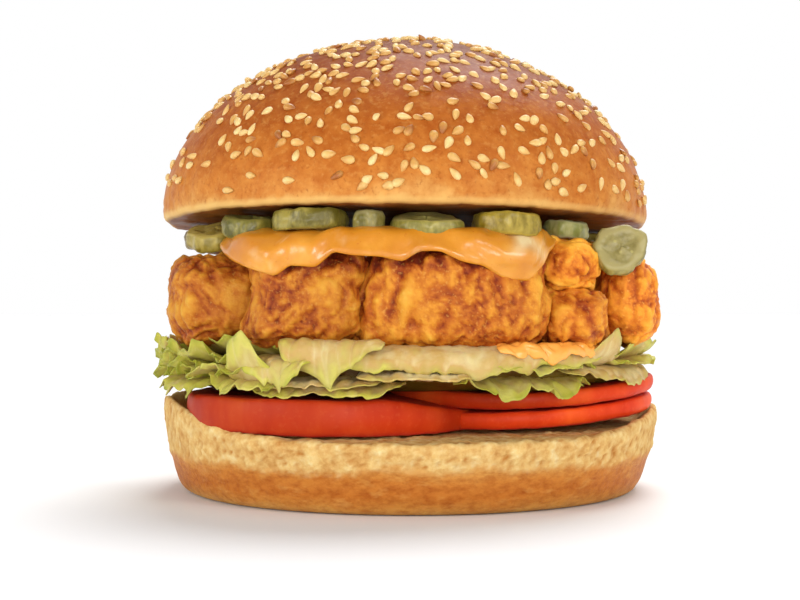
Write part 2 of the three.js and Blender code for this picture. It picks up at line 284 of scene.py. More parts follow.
class Look:
    """A procedural material built up node by node."""

    def __init__(self, name, rough=0.5, spec=0.4):
        self.m = bpy.data.materials.new(name)
        self.m.use_nodes = True
        self.t = self.m.node_tree
        self.b = self.t.nodes["Principled BSDF"]
        self.b.inputs["Roughness"].default_value = rough
        self.b.inputs["Specular IOR Level"].default_value = spec
        self.co = self.t.nodes.new("ShaderNodeTexCoord").outputs["Object"]

    def link(self, a, b):
        self.t.links.new(a, b)

    def attr(self, name, colour=False):
        n = self.t.nodes.new("ShaderNodeAttribute")
        n.attribute_name = name
        return n.outputs["Color" if colour else "Fac"]

    def noise(self, mm, detail=3.0, rough=0.5, stretch=None):
        n = self.t.nodes.new("ShaderNodeTexNoise")
        n.inputs["Scale"].default_value = 1000.0 / mm
        n.inputs["Detail"].default_value = detail
        n.inputs["Roughness"].default_value = rough
        v = self.co
        if stretch:
            s = self.t.nodes.new("ShaderNodeVectorMath")
            s.operation = "MULTIPLY"
            s.inputs[1].default_value = stretch
            self.link(v, s.inputs[0])
            v = s.outputs[0]
        self.link(v, n.inputs["Vector"])
        return n.outputs["Fac"]

    def spots(self, mm):
        n = self.t.nodes.new("ShaderNodeTexVoronoi")
        n.inputs["Scale"].default_value = 1000.0 / mm
        self.link(self.co, n.inputs["Vector"])
        return n.outputs["Distance"]

    def math(self, op, a, b=0.0, c=None):
        n = self.t.nodes.new("ShaderNodeMath")
        n.operation = op
        for i, x in enumerate((a, b) if c is None else (a, b, c)):
            if isinstance(x, (int, float)):
                n.inputs[i].default_value = x
            else:
                self.link(x, n.inputs[i])
        return n.outputs[0]

    def ramp(self, fac, stops):
        n = self.t.nodes.new("ShaderNodeValToRGB")
        e = n.color_ramp.elements
        while len(e) < len(stops):
            e.new(0.5)
        for el, (pos, col) in zip(e, sorted(stops, key=lambda s: s[0])):
            el.position = pos
            el.color = col if len(col) == 4 else tone(*col)
        self.link(fac, n.inputs["Fac"])
        return n.outputs["Color"]

    def level(self, fac, lo, hi, a=0.0, b=1.0):
        n = self.t.nodes.new("ShaderNodeMapRange")
        n.inputs["From Min"].default_value = lo
        n.inputs["From Max"].default_value = hi
        n.inputs["To Min"].default_value = a
        n.inputs["To Max"].default_value = b
        self.link(fac, n.inputs["Value"])
        return n.outputs["Result"]

    def mix(self, fac, a, b, blend="MIX"):
        n = self.t.nodes.new("ShaderNodeMix")
        n.data_type = "RGBA"
        n.blend_type = blend
        for x, s in ((fac, n.inputs["Factor"]), (a, n.inputs[6]), (b, n.inputs[7])):
            if isinstance(x, (int, float)):
                s.default_value = x
            elif isinstance(x, tuple):
                s.default_value = x
            else:
                self.link(x, s)
        return n.outputs[2]

    def bump(self, height, strength, mm):
        n = self.t.nodes.new("ShaderNodeBump")
        n.inputs["Strength"].default_value = strength
        n.inputs["Distance"].default_value = mm * 0.001
        self.link(height, n.inputs["Height"])
        last = self.b.inputs["Normal"].links
        if last:
            self.link(last[0].from_socket, n.inputs["Normal"])
        self.link(n.outputs["Normal"], self.b.inputs["Normal"])

    def colour(self, c):
        self.link(c, self.b.inputs["Base Color"])

    def rough(self, r):
        self.link(r, self.b.inputs["Roughness"])

    def soft(self, weight, mm, tint=(1.0, 0.5, 0.3)):
        self.b.inputs["Subsurface Weight"].default_value = weight
        self.b.inputs["Subsurface Radius"].default_value = tint
        self.b.inputs["Subsurface Scale"].default_value = mm * 0.001

    def coat(self, weight, rough):
        self.b.inputs["Coat Weight"].default_value = weight
        self.b.inputs["Coat Roughness"].default_value = rough


def crown_look():
    k = Look("bun_crust", 0.48, 0.06)
    h = k.math("ADD", k.attr("h"), k.math("MULTIPLY", k.math("SUBTRACT", k.noise(15, 3), 0.5), 0.5))
    c = k.ramp(h, [(0.0, (234, 175, 107)), (0.07, (224, 151, 80)), (0.2, (216, 137, 66)), (0.42, (198, 116, 52)), (0.7, (166, 87, 36)), (1.0, (138, 69, 27))])
    c = k.mix(k.level(k.noise(3.2, 4, 0.6), 0.3, 0.72), c, k.mix(1.0, c, lin(222, 190, 164), "MULTIPLY"))
    c = k.mix(k.level(k.noise(1.1, 3, 0.6), 0.52, 0.75, 0.0, 0.35), c, tone(232, 176, 108))
    c = k.mix(k.level(k.noise(0.8, 2, 0.5), 0.6, 0.75, 0.0, 0.4), c, tone(150, 76, 30))
    c = k.mix(k.attr("crumb"), c, tone(238, 196, 132))
    # the flat underside: toasted brown, darkened further as painted shade
    c = k.mix(k.attr("under"), c, k.ramp(k.noise(2.5, 4, 0.6), [(0.3, (112, 58, 26)), (0.6, (156, 92, 44)), (0.75, (190, 130, 72))]))
    k.colour(c)
    k.rough(k.level(k.noise(5, 3), 0.2, 0.8, 0.34, 0.52))
    k.bump(k.noise(1.6, 4, 0.6), 0.3, 0.4)
    k.bump(k.noise(0.5, 2, 0.5), 0.15, 0.15)
    return k.m


def seed_look():
    k = Look("sesame", 0.42, 0.4)
    c = k.ramp(k.attr("tone"), [(0.0, (254, 228, 178)), (0.4, (244, 204, 140)), (0.75, (222, 166, 94)), (1.0, (176, 106, 46))])
    c = k.mix(k.level(k.noise(0.8, 3), 0.35, 0.7, 0.0, 0.5), c, k.mix(1.0, c, lin(236, 210, 174), "MULTIPLY"))
    k.colour(c)
    k.soft(0.1, 0.5)
    k.bump(k.noise(0.4, 2), 0.15, 0.08)
    return k.m


def heel_look():
    k = Look("bun_heel_crust", 0.55, 0.12)
    z = k.math("ADD", k.attr("z"), k.math("MULTIPLY", k.math("SUBTRACT", k.noise(10, 4, 0.6, (1.0, 1.0, 2.2)), 0.5), 4.5))
    crust = k.ramp(k.math("DIVIDE", z, 12.0), [(0.0, (226, 172, 98)), (0.16, (216, 146, 72)), (0.36, (206, 124, 52)), (0.62, (216, 138, 64)), (0.9, (234, 176, 104))])
    crust = k.mix(k.level(k.noise(2.4, 4, 0.65, (1.0, 1.0, 1.8)), 0.4, 0.7, 0.0, 0.8), crust, k.mix(1.0, crust, lin(206, 170, 138), "MULTIPLY"))
    crust = k.mix(k.level(k.noise(5, 3, 0.6, (1.0, 1.0, 2.4)), 0.55, 0.72, 0.0, 0.5), crust, tone(232, 172, 100))
    pale = k.ramp(k.noise(2.4, 4, 0.62), [(0.28, (222, 172, 110)), (0.45, (242, 202, 142)), (0.58, (250, 220, 166)), (0.75, (255, 242, 210))])
    # painted shade: the crumb is darkened in its pits and hollows
    pale = k.mix(k.attr("cav"), k.mix(1.0, pale, lin(206, 160, 110), "MULTIPLY"), pale)
    k.colour(k.mix(k.attr("crumb"), crust, pale))
    k.rough(k.level(k.attr("crumb"), 0.0, 1.0, 0.5, 0.85))
    k.soft(0.08, 1.0)
    k.bump(k.noise(0.8, 4, 0.65), 0.5, 0.35)
    k.bump(k.noise(2.4, 3, 0.6), 0.25, 0.5)
    return k.m


def tomato_look():
    k = Look("tomato", 0.42, 0.12)
    skin = k.ramp(k.noise(8, 3, 0.5, (1.0, 1.0, 0.4)), [(0.3, (206, 53, 20)), (0.52, (222, 69, 28)), (0.75, (236, 92, 37))])
    skin = k.mix(k.level(k.noise(0.9, 2), 0.55, 0.75, 0.0, 0.15), skin, tone(240, 120, 74))
    flesh = k.ramp(k.noise(4, 4, 0.6), [(0.3, (200, 44, 36)), (0.55, (220, 60, 48)), (0.75, (234, 104, 76))])
    gel = k.ramp(k.noise(1.6, 3), [(0.35, (170, 48, 24)), (0.6, (198, 84, 38)), (0.72, (226, 160, 88))])
    c = k.mix(k.attr("gel"), flesh, gel)
    # painted light: the slice colour is scaled by its painted light level
    k.colour(k.mix(1.0, k.mix(k.attr("skin"), c, skin), k.attr("lift", True), "MULTIPLY"))
    k.soft(0.04, 1.5, (1.0, 0.25, 0.12))
    k.rough(k.level(k.noise(3, 3), 0.3, 0.7, 0.38, 0.52))
    k.bump(k.noise(2.5, 3), 0.06, 0.4)
    return k.m


def lettuce_look(name, dark):
    k = Look(name, 0.45, 0.2)
    g = k.math("ADD", k.attr("green"), k.math("MULTIPLY", k.math("SUBTRACT", k.noise(4.5, 4, 0.6), 0.5), 0.5))
    c = k.ramp(g, [(0.0, (236, 212, 172)), (0.2, (214, 176, 116)), (0.4, (206, 184, 108)), (0.58, (216, 208, 106)), (0.78, (204, 200, 88)), (1.0, (170, 174, 66))])
    c = k.mix(k.level(k.attr("vein"), 0.0, 1.0, 0.0, 0.55), c, tone(236, 228, 182))
    # painted shade: leaves that lie inside are darkened all over
    if dark:
        c = k.mix(1.0, c, lin(150, 124, 84), "MULTIPLY")
    k.colour(c)
    k.soft(0.18, 1.0, (0.7, 1.0, 0.3))
    k.bump(k.noise(1.6, 4, 0.6), 0.5, 0.5)
    return k.m


def chicken_look():
    k = Look("breading", 0.5, 0.18)
    # the batter runs from dark in the creases to pale on the lobes: partly its own browning, partly painted shade in
    # the creases and painted light on the lobes
    h = k.math("ADD", k.attr("cav"), k.math("MULTIPLY", k.math("SUBTRACT", k.noise(1.6, 4, 0.65), 0.5), 0.45))
    c = k.ramp(h, [(0.0, (112, 36, 14)), (0.14, (158, 66, 20)), (0.3, (204, 112, 35)), (0.5, (236, 157, 54)), (0.74, (248, 185, 73)), (1.0, (254, 206, 110))])
    c = k.mix(k.level(k.noise(7, 3), 0.42, 0.72, 0.0, 0.55), c, k.mix(1.0, c, lin(226, 184, 140), "MULTIPLY"))
    c = k.mix(k.level(k.noise(0.7, 2), 0.58, 0.75, 0.0, 0.4), c, tone(248, 190, 100))
    # painted light: each piece's colour is scaled by its own painted light level
    c = k.mix(1.0, c, k.attr("lift", True), "MULTIPLY")
    k.colour(c)
    k.rough(k.level(k.noise(1.5, 3), 0.3, 0.7, 0.4, 0.64))
    k.soft(0.05, 0.6)
    k.bump(k.noise(0.6, 4, 0.7), 0.6, 0.4)
    return k.m


def sauce_look():
    k = Look("sauce", 0.24, 0.4)
    c = k.ramp(k.noise(8, 3), [(0.3, (216, 134, 36)), (0.55, (230, 152, 46)), (0.75, (244, 176, 74))])
    # pale cream streaks and patches: partly paler sauce, partly painted highlight
    c = k.mix(k.attr("pale"), c, tone(254, 230, 196))
    c = k.mix(k.level(k.noise(0.7, 2), 0.66, 0.76, 0.0, 0.4), c, tone(206, 100, 30))
    k.colour(c)
    k.soft(0.12, 1.2, (1.0, 0.6, 0.25))
    k.coat(0.2, 0.14)
    k.bump(k.noise(4, 3), 0.3, 0.6)
    k.bump(k.noise(1.2, 3), 0.2, 0.25)
    return k.m


def pickle_look():
    k = Look("gherkin", 0.34, 0.4)
    t = k.attr("tint", True)
    rind = k.mix(1.0, t, lin(186, 188, 128), "MULTIPLY")
    rind = k.mix(k.level(k.noise(2.2, 4, 0.6, (1.0, 1.0, 0.4)), 0.42, 0.62, 0.0, 0.9), rind, k.mix(0.45, t, tone(186, 172, 78)))
    wet = k.mix(k.level(k.noise(2.2, 4, 0.6), 0.35, 0.7), k.mix(1.0, t, lin(210, 210, 180), "MULTIPLY"), k.mix(0.2, t, tone(206, 200, 140)))
    wet = k.mix(k.level(k.spots(2.0), 0.14, 0.24, 0.6, 0.0), wet, tone(206, 196, 136))
    core = k.mix(k.attr("core"), k.mix(0.12, t, tone(200, 198, 132)), wet)
    k.colour(k.mix(k.attr("rind"), core, rind))
    k.soft(0.12, 1.2, (0.8, 1.0, 0.3))
    k.bump(k.noise(1.2, 4, 0.6), 0.35, 0.4)
    return k.m


def floor_look():
    k = Look("floor", 0.75, 0.2)
    k.colour(k.ramp(k.noise(60, 2), [(0.3, lin(235, 235, 236)), (0.7, lin(237, 237, 238))]))
    return k.m


# ------------------------------------------------------------------ the bun
def make_crown():
    c = CROWN
    a = np.linspace(0, math.pi / 2, 220)
    dome = np.stack([c["r"] * np.cos(a) ** (2 / c["power"]), c["lip"] + (c["h"] - c["lip"]) * np.sin(a) ** (2 / c["power"])], 1)
    dome[-1, 0] = 0
    edge = rounded([(c["r"] - 5, 0), (c["r"] - 2.0, 0), (c["r"] - 0.7, 0.3), tuple(dome[0]), tuple(dome[10])], 3)
    p = np.vstack([[(0, 0)], edge[edge[:, 1] < dome[6, 1]], dome[6:]])
    p[-1, 0] = 0
    r, z, ang, quads, tris = lathe(spaced(p, 0.68, 3.0, lambda r, z: (z > 0.02) | (r > c["r"] - 8)), 340)
    x, y = r * np.cos(np.radians(ang)), r * np.sin(np.radians(ang))
    up = smooth(0, 8, z)
    k = 1 + 0.009 * wobble(x, y, z, 5, 46) * (0.35 + 0.65 * up)
    x, y = x * k, y * k
    z2 = z + 0.4 * up * wobble(x, y, 0 * x, 9, 38)
    co = np.stack([x, y, z2], 1)
    n = normals(co, quads, tris)
    side = smooth(0.4, 2.5, z)
    # soft dents all over, fine pulls and wrinkles that gather towards the rim
    d = 0.4 * fbm(co / 15.0, 3, 11) * side + 0.07 * fbm(co / 1.8, 3, 12) * side
    low = smooth(15, 2.5, z) * side * (0.4 + 0.6 * hump(ang, 180, 50) + 0.4 * hump(ang, 0, 35))
    q = np.stack([np.cos(np.radians(ang)) * 24, np.sin(np.radians(ang)) * 24, z / 8.0], 1)
    d = d - 0.6 * low * np.maximum(0, fbm(q, 3, 13)) ** 0.8 + 0.25 * low * fbm(co / 2.2, 3, 14)
    # the lower edge is cut a little unevenly
    d = d + (1 - side) * 0.3 * fbm(co / 2.4, 3, 15) * smooth(30, 50, r)
    co = co + n * d[:, None]
    co[:, 2] += 0.55 * fbm(np.stack([np.cos(np.radians(ang)) * 5, np.sin(np.radians(ang)) * 5, 0 * z], 1), 2, 17) * smooth(40, 55, r) * smooth(8, 0, z)
    crumb = smooth(2.0, 0.9, z + 0.8 * fbm(co / 3.0, 3, 16)) * (0.45 + 0.55 * hump(ang, 200, 70))
    # the flat underside of the crown, which gets a toasted colour and painted shade
    under = smooth(c["r"] - 0.6, c["r"] - 2.0, r) * (z < 1.0)
    placed = lean(co, c["tilt"], c["roll"]) + np.array([0, 0, c["z"]])
    build("crown", placed, quads, tris, crown_look(), {"h": np.clip(z / c["h"], 0, 1), "crumb": crumb, "under": under}, ("bun_crown",))
    return placed, normals(placed, quads, tris), z, ang, quads


def make_seeds(co, nrm, z, ang, quads, count=1000):
    d = co[quads]
    area = 0.5 * np.linalg.norm(np.cross(d[:, 2] - d[:, 0], d[:, 3] - d[:, 1]), axis=1)
    mid, up = d.mean(1), nrm[quads].mean(1)
    h, a = z[quads].mean(1) / CROWN["h"], ang[quads[:, 0]]
    # thick on top and towards the left, thinner down the sides, none right at the edge
    dense = smooth(0.05, 0.16, h) * (0.55 + 0.45 * smooth(0.3, 0.72, h))
    dense = dense * np.clip(0.8 + 1.3 * fbm(mid / 11.0, 2, 21), 0.1, 2.2)
    dense = dense * (1 - 0.5 * hump(a, -14, 44) * smooth(0.9, 0.5, h)) * (1 - 0.45 * hump(a, 205, 34) * smooth(0.6, 0.25, h)) * (1 + 0.5 * hump(a, -86, 22) * smooth(0.5, 0.2, h))
    w = area * dense
    order = RNG.choice(len(w), size=12000, replace=False, p=w / w.sum())
    kept = []
    for i in order:
        if len(kept) == count:
            break
        if kept:
            g = np.linalg.norm(mid[kept] - mid[i], axis=1).min()
            if g < RNG.uniform(1.4, 2.5):
                continue
        kept.append(i)
    nu, nv = 7, 10
    u = np.sin(np.linspace(-1, 1, nu + 2)[1:-1] * math.pi / 2) * 0.999
    th = np.arange(nv) * 2 * math.pi / nv
    cos, tones, qs, ts, base = [], [], [], [], 0
    j = np.arange(nv)
    jn = (j + 1) % nv
    rows = np.arange(nu - 1)[:, None] * nv + 1
    q0 = np.stack([rows + j, rows + jn, rows + nv + jn, rows + nv + j], -1).reshape(-1, 4)
    t0 = np.vstack([np.stack([np.zeros(nv, int), 1 + jn, 1 + j], 1), np.stack([np.full(nv, 1 + nu * nv), 1 + (nu - 1) * nv + j, 1 + (nu - 1) * nv + jn], 1)])
    uu = np.concatenate([[-1], np.repeat(u, nv), [1]])
    tt = np.concatenate([[0], np.tile(th, nu), [0]])
    for i in kept:
        L, W, T = 1.43 * RNG.uniform(0.84, 1.12), 0.84 * RNG.uniform(0.85, 1.14), 0.55 * RNG.uniform(0.85, 1.2)
        rad = np.sqrt(np.maximum(0, 1 - uu ** 2)) * (1 - 0.34 * uu - 0.12 * uu ** 2)
        p = np.stack([uu * L, rad * np.cos(tt) * W, rad * np.sin(tt) * T + 0.1 * uu ** 2 * RNG.uniform(-1, 1)], 1)
        n = up[i] / np.linalg.norm(up[i])
        t = np.cross(n, RNG.normal(size=3))
        t /= np.linalg.norm(t)
        # seeds lie nearly flat, a few stand up a little
        tip = RNG.normal(0, 0.12) if RNG.random() < 0.85 else RNG.normal(0, 0.4)
        t = t * math.cos(tip) + n * math.sin(tip)
        b = np.cross(n, t)
        b /= np.linalg.norm(b)
        roll = RNG.normal(0, 0.16)
        m = np.cross(t, b)
        b, m = b * math.cos(roll) + m * math.sin(roll), m * math.cos(roll) - b * math.sin(roll)
        cos.append(mid[i] + n * (T * RNG.uniform(0.0, 0.45)) + p[:, :1] * t + p[:, 1:2] * b + p[:, 2:] * m)
        tn = np.clip(RNG.beta(1.9, 2.4) + 0.1 * RNG.normal(), 0, 1)
        tones.append(np.clip(tn + 0.2 * uu, 0, 1))
        qs.append(q0 + base)
        ts.append(t0 + base)
        base += len(p)
    o = build("sesame_seeds", np.vstack(cos), np.vstack(qs), np.vstack(ts), seed_look(), {"tone": np.concatenate(tones)})


def make_heel():
    f, R, top = HEEL["foot"], HEEL["r"], HEEL["top"]
    line = [(0, 0), (f * 0.5, 0), (f - 1, 0), (f + 1.6, 0.3), (f + 3.4, 2.3), (f + 4.2, 4.4), (f + 5.2, 8), (R - 0.7, 11.8), (R, 14.2), (R - 0.5, top - 0.3), (R - 1.5, top), (R - 5.5, top), (R * 0.5, top), (0, top)]
    r, z, ang, quads, tris = lathe(spaced(rounded(line, 3), 0.55, 3.0, lambda r, z: ((z > 0.1) & (r > R - 14)) | (r > f - 3)), 400)
    x, y = r * np.cos(np.radians(ang)), r * np.sin(np.radians(ang))
    rim = HEEL["left"] * np.maximum(1.1 * hump(ang, -165, 28), hump(ang, 172, 28)) + HEEL["right"] * hump(ang, -4, 30) + HEEL["back"] * hump(ang, 112, 40)
    high = smooth(9, top, z)
    z2 = z + rim * high * smooth(R - 5.4, R - 0.9, r)
    k = 1 + 0.006 * wobble(x, y, z * 0.5, 3, 50) * smooth(0.2, 4, z)
    co = np.stack([x * k, y * k, z2], 1)
    # the bread is pressed down where the slices lie
    for t in list(TOMATOES.values())[:2]:
        dx, dy = co[:, 0] + HEEL["x"] - t["x"], co[:, 1] - t["y"]
        inside = smooth(t["r"] + 1.6, t["r"] - 0.2, np.hypot(dx, dy)) * smooth(R - 0.8, R - 5.0, r)
        bed = t["z"] - 0.25 + (0.0454 * dx + 0.014 * dy + t["sag"] * (dx / t["r"]) ** 2 if t["roll"] < 0 else 0)
        over = np.maximum(0, co[:, 2] - bed) * (z > 10)
        co[:, 2] -= over * inside
    n = normals(co, quads, tris)
    line_z = 9.3 + 2.0 * fbm(np.stack([np.cos(np.radians(ang)) * 5, np.sin(np.radians(ang)) * 5, 0 * z], 1), 4, 41)
    crumb = smooth(line_z - 0.9, line_z + 1.3, z2 + 1.3 * fbm(co / 2.2, 3, 42))
    rag = fbm(co / np.array([4.6, 4.6, 3.2]), 4, 45, 0.6)
    torn = np.abs(fbm(co / 2.2, 3, 49))
    pits = np.clip(0.42 - cells(co / 1.7, 43), 0, 1) * 2.2
    fine = fbm(co / 0.95, 2, 46)
    d = crumb * (0.75 * rag + 0.5 * torn - 0.45 * pits + 0.2 * fine - 0.1) + (1 - crumb) * (0.32 * fbm(co / 9, 3, 47) + 0.08 * fbm(co / 1.8, 3, 48))
    # a flaky step where the crust ends
    d = d + 0.3 * np.exp(-(((z2 - line_z) / 0.8) ** 2)) * (0.4 + fbm(co / 3.0, 2, 40))
    d = d * smooth(0.05, 1.5, z2)
    co = co + n * d[:, None]
    co[:, 2] = np.maximum(co[:, 2], 0.0)
    # painted shade: low values darken the crumb in its pits and hollows
    cav = np.clip(0.72 + 0.5 * rag + 0.5 * torn - 1.1 * pits + 0.25 * fine, 0, 1)
    build("heel", co + np.array([HEEL["x"], 0, 0]), quads, tris, heel_look(), {"z": z2, "crumb": crumb, "cav": cav}, ("bun_heel",))


# ------------------------------------------------------------------ tomato
def make_tomatoes():
    look = tomato_look()
    for name, t in TOMATOES.items():
        h, r0 = t["t"], t["r"]
        line = [(0, 0), (r0 * 0.55, 0), (r0 - 2.6, 0), (r0 - 1.1, 0.12), (r0 - 0.3, h * 0.25), (r0, h * 0.55), (r0 - 0.2, h * 0.84), (r0 - 0.6, h - 0.12), (r0 - 1.3, h), (r0 - 4, h), (r0 * 0.55, h), (0, h)]
        r, z, ang, quads, tris = lathe(spaced(rounded(line, 2), 0.5, 2.2, lambda r, z: r > r0 - 8), 190)
        x, y = r * np.cos(np.radians(ang)), r * np.sin(np.radians(ang))
        k = 0.988 + 0.012 * np.cos(np.radians(5 * ang + 40 * t["seed"]))
        end = x / r0
        z = z - t["thin"] * (z / h) * smooth(0.3, 1.05, end) + t["sag"] * end * end
        # seed chambers between the walls of the slice
        lobe = np.cos(np.radians(5 * ang + 40 * t["seed"]))
        rho = r / r0
        gel = smooth(-0.1, 0.5, lobe) * smooth(0.25, 0.4, rho) * smooth(0.86, 0.74, rho)
        co = np.stack([x * k, y * k, z], 1)
        n = normals(co, quads, tris)
        skin = smooth(r0 - 1.3, r0 - 0.5, r)
        d = 0.2 * fbm(co / 8.0, 3, 50 + t["seed"]) + (1 - skin) * (0.22 * fbm(co / 2.2, 3, 60 + t["seed"]) - 0.35 * gel)
        co = co + n * d[:, None]
        co = lean(co, t["pitch"], t["roll"]) + np.array([t["x"], t["y"], t["z"]])
        # painted light and shade: the right slice is lightened all over; the top slice is lightened most at its left
        # end, where it lies back in shade, darkened a little in the middle and lightened again at its right end; the
        # left slice is darkened at its left end and lightened towards its right end
        ripe = {"tomato_right": 1.28}.get(name, 1.0) + 0 * x
        if name == "tomato_top":
            ripe = 1.35 - 0.5 * smooth(2, 16, co[:, 0]) + 0.3 * smooth(24, 46, co[:, 0])
        if name == "tomato_left":
            ripe = 0.74 + 0.36 * smooth(-22, 8, co[:, 0])
        build(name.replace("tomato", "slice"), co, quads, tris, look, {"skin": skin, "gel": gel, "lift": np.repeat(ripe[:, None], 3, 1)}, (name,))


# ------------------------------------------------------------------ chicken
# how far the fine steps reach from the low and the high end of each axis
SEEN = {
    "chicken_mid_left": ((99, 99), (15, 15)), "chicken_left": ((15, 6), (99, 99)), "chicken_front": ((99, 99), (10, 2)), "chicken_back": ((99, 99), (2, 16)),
    "chicken_right_low": ((99, 99), (14, 14)), "chicken_right_high": ((99, 99), (14, 14)), "chicken_far_right": ((6, 12), (99, 99)),
}
# painted light: the pieces on the right are lightened and those on the left darkened, standing in for the light falling
# from the right
LIFT = {"chicken_left": 0.86, "chicken_mid_left": 0.88, "chicken_front": 1.0, "chicken_right_low": 1.12, "chicken_right_high": 1.3, "chicken_far_right": 1.4}
SIDE, TRIM = {"chicken_left": -1, "chicken_far_right": 1}, -1.3
PRESS = {"chicken_left": (1.2, 0.3), "chicken_mid_left": (1.5, 0.4), "chicken_front": (1.0, 0.3), "chicken_right_low": (1.3, 0.7), "chicken_right_high": (1.6, 0.7), "chicken_far_right": (0.7, 0.3), "chicken_back": (1.6, 0.3)}


def make_chicken():
    look = chicken_look()
    for name, c in CHICKEN.items():
        half = np.array([c["hx"], c["hy"], (c["z1"] - c["z0"]) / 2])
        mid = (c["z0"] + c["z1"]) / 2
        R = min(c["round"], *(half * 0.94))
        sx, sy = SEEN[name]
        fine = 0.56 if name in ("chicken_left", "chicken_far_right", "chicken_back") else 0.46
        g, quads = box_grid([steps(half[0], fine, 2.0, *sx), steps(half[1], fine, 2.0, *sy), steps(half[2], fine, 2.0, 99, 99)])
        p = g * half
        q = np.clip(p, R - half, half - R)
        d = p - q
        d /= np.linalg.norm(d, axis=1, keepdims=True)
        swell = 0.6 * wobble(p[:, 0] + c["x"], p[:, 1] + c["y"], p[:, 2], c["seed"], 21) - 0.35
        p = q + d * (R + swell)[:, None]
        # soft meat: each piece is pressed against the next
        p[:, 0] += np.where(d[:, 0] * SIDE.get(name, 0) > 0, TRIM, PRESS[name][0]) * d[:, 0]
        p[:, 2] += PRESS[name][1] * d[:, 2]
        # the ends facing the front are rounded off, so creases run between the pieces
        end = smooth(1 - 12 / half[1], 1.0, -g[:, 1]) * (name not in ("chicken_left", "chicken_far_right"))
        y = c["y"] + p[:, 1] + c["bowY"] * g[:, 0] ** 2 + end * (2.6 * g[:, 2] ** 2 + 2.0 * np.abs(g[:, 0]) ** 4)
        x = c["x"] + p[:, 0] + c["bowX"] * (1 - g[:, 1] ** 2)
        z = mid + p[:, 2] - FALL * (y + 45) * (0.5 + p[:, 2] / (2 * half[2]))
        wave = np.stack([0.03 * x, 0.03 * y, z / 13.0], 1)
        x = x + 2.6 * fbm(wave, 2, 81) * smooth(55, 40, np.abs(x)) + 0.16 * (z - 43) * hump(x, -16, 14)
        co = np.stack([x, y, z], 1)
        n = normals(co, quads)
        s = 100 + 10 * c["seed"]
        warp = np.stack([fbm(co / 9.0, 2, s), fbm(co / 9.0, 2, s + 1), fbm(co / 9.0, 2, s + 2)], 1)
        slant = 0.55 if name == "chicken_mid_left" else 0.1
        e = co + 2.6 * warp
        lean_x = e[:, 0] - slant * e[:, 2]
        # batter in upright lobes with sharp creases between, then smaller lobes on those, then crumbs
        big = np.abs(noise(np.stack([lean_x / 6.5, e[:, 1] / 6.5, e[:, 2] / 17.0], 1), s + 3))
        less = np.abs(noise(np.stack([lean_x / 2.9, e[:, 1] / 2.9, e[:, 2] / 5.0], 1), s + 4))
        least = np.abs(noise(e / 1.5, s + 5))
        lump = fbm(co / 8.0, 3, s + 6)
        grain = fbm(co / 1.0, 2, s + 7)
        dd = 2.0 * (big - 0.28) + 1.25 * (less - 0.28) + 0.5 * (least - 0.28) + 0.8 * lump + 0.12 * grain + 0.15
        co = co + n * dd[:, None]
        # painted shadow: the tops of the front and middle-left pieces are darkened where the sauce hangs over them
        # partly painted shade: low values darken the batter in its creases, high values lighten its lobes
        cav = np.clip(0.08 + 0.62 * big + 0.52 * less + 0.36 * least + 0.16 * lump + 0.1 * grain - 0.3 * smooth(48.6, 52.4, co[:, 2]) * (name in ("chicken_front", "chicken_mid_left")), 0, 1)
        build(name.replace("chicken", "breaded"), co, quads, None, look, {"cav": cav, "lift": np.full((len(co), 3), LIFT.get(name, 1.0))}, (name,))


# ------------------------------------------------------------------ sauce
# where the lower edge of the sauce hangs along the front: angle and height
EDGE = [(-150, 57.5), (-140, 56.9), (-132, 54.4), (-124.5, 52.4), (-117.5, 50.0), (-114.3, 52.2), (-109, 51.8), (-105.3, 54.5), (-101.5, 53.9), (-95, 53.6), (-90.6, 52.8), (-87, 54.6), (-82.7, 54.5), (-78.6, 53.0), (-74, 52.2), (-69, 49.4), (-63.3, 49.2), (-60.5, 51.8), (-58, 54.6), (-54, 56.2), (-49, 57.3), (-40, 57.6)]


def sauce_reach(ang):
    a = (ang + 90 + 180) % 360 - 180 - 90
    e = np.array(EDGE)
    fine = np.linspace(-150, -40, 441)
    zz = np.interp(fine, e[:, 0], e[:, 1])
    ker = np.hanning(9)
    zz = np.convolve(np.pad(zz, 4, mode="edge"), ker / ker.sum(), "valid")
    drop = SAUCE["z"] + 0.2 - np.interp(a, fine, zz)
    B = SAUCE["bend"]
    arc = np.where(drop > 0, np.where(drop < B, B * np.arccos(np.clip(1 - drop / B, -1, 1)), B * math.pi / 2 + drop - B), drop * 2.0)
    front = SAUCE["shoulder"] + arc
    rest = SAUCE["r"] + 1.6 * np.cos(np.radians(5 * ang + 30)) + 1.0 * np.cos(np.radians(9 * ang)) + 1.2 * np.cos(np.radians(17 * ang + 60))
    w = smooth(-156, -146, a) * smooth(-36, -46, a)
    return front * w + rest * (1 - w)


